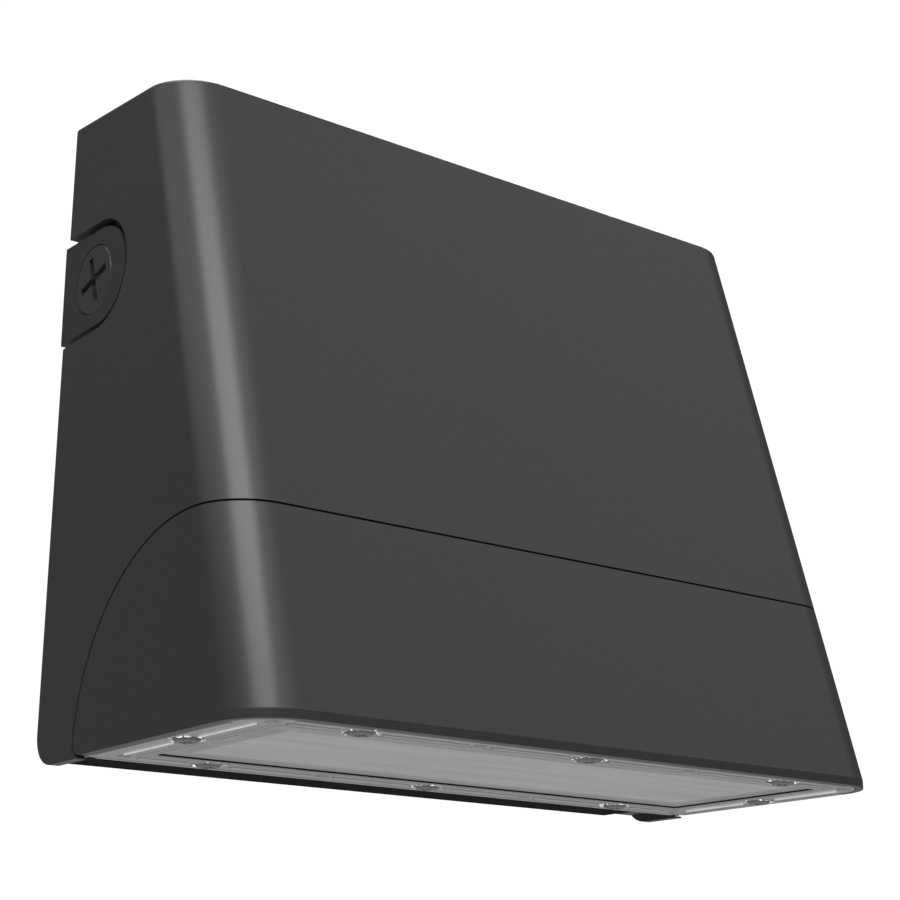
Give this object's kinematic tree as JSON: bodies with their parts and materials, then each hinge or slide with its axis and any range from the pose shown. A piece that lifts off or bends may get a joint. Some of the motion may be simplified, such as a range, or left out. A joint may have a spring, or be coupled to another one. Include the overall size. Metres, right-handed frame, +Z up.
{
  "type": "wall pack light",
  "caption": "Wedge-shaped outdoor wall light with a flat downward lens; the front housing hinges open at the bottom of a wall-mounted back box.",
  "frame": {"origin": "middle of the two junction box slots, on the wall face of the back box, at mid height of the light", "axes": "+X to the light's left as it looks out from the wall (right in front view), +Y into the wall, +Z up; the light faces -Y"},
  "size_m": [0.226, 0.1146, 0.1985],
  "materials": {
    "black_casting": "fine matt dark bronze-black powder coat on die-cast aluminium",
    "gasket_rubber": "matt silicone rubber",
    "gasket_foam": "closed-cell foam rubber",
    "steel": "plain stainless steel",
    "brass": "plain turned brass",
    "ground_green": "green passivated steel",
    "terminal_plastic": "moulded nylon",
    "dark_plastic": "moulded black nylon",
    "driver_case": "moulded grey case filled with potting compound",
    "tray_steel": "zinc plated sheet",
    "lens_clear": "clear moulded lens with a lightly textured middle",
    "diffuser_white": "opal sheet",
    "reflector_white": "white reflecting plastic",
    "thermal_grey": "soft filled silicone",
    "board_white": "white solder mask on metal core board",
    "phosphor_yellow": "phosphor coated package",
    "lead_black": "insulated wire",
    "lead_white": "insulated wire",
    "lead_green": "insulated wire",
    "lead_red": "insulated wire"
  },
  "bodies": {
    "back_box_body": {"back_box": "black_casting", "wall_gasket": "gasket_foam", "box_gasket": "gasket_rubber", "hinge_pins": "steel", "hinge_clips": "steel", "terminal_block": "terminal_plastic", "terminal_clamps": "brass", "terminal_screws": "steel", "ground_screw": "ground_green", "surge_protector": "dark_plastic", "surge_screws": "steel", "surge_lead_black": "lead_black", "surge_lead_white": "lead_white", "surge_lead_green": "lead_green"},
    "front_body": {"upper_cover": "black_casting", "light_housing": "black_casting", "seam_gasket": "gasket_rubber", "joining_screws": "steel", "lens": "lens_clear", "lens_gasket": "gasket_rubber", "lens_screws": "steel", "diffuser": "diffuser_white", "reflector": "reflector_white", "thermal_pad": "thermal_grey", "led_board": "board_white", "led_chips": "phosphor_yellow", "board_screws": "steel", "board_connector": "terminal_plastic", "deck_grommet": "gasket_rubber", "driver_tray": "tray_steel", "tray_screws": "steel", "driver": "driver_case", "driver_screws": "steel", "panel_socket": "dark_plastic", "input_lead_black": "lead_black", "input_lead_white": "lead_white", "input_lead_green": "lead_green", "output_lead_red": "lead_red", "output_lead_black": "lead_black", "closing_screws": "steel", "closing_washers": "gasket_rubber", "closing_nuts": "steel"},
    "plug_left_body": {"conduit_plug_left": "black_casting"},
    "plug_right_body": {"conduit_plug_right": "black_casting"}
  },
  "joints": [
    {"name": "front_housing_hinge", "type": "hinge", "parent": "back_box_body", "child": "front_body", "pos_m": [0, -0.012, -0.0895], "axis": [1, 0, 0], "range_deg": [0, 90]},
    {"name": "left_conduit_plug_slide", "type": "slide", "parent": "back_box_body", "child": "plug_left_body", "axis": [-1, 0, 0], "range_m": [0, 0.016]},
    {"name": "right_conduit_plug_slide", "type": "slide", "parent": "back_box_body", "child": "plug_right_body", "axis": [1, 0, 0], "range_m": [0, 0.016]}
  ]
}
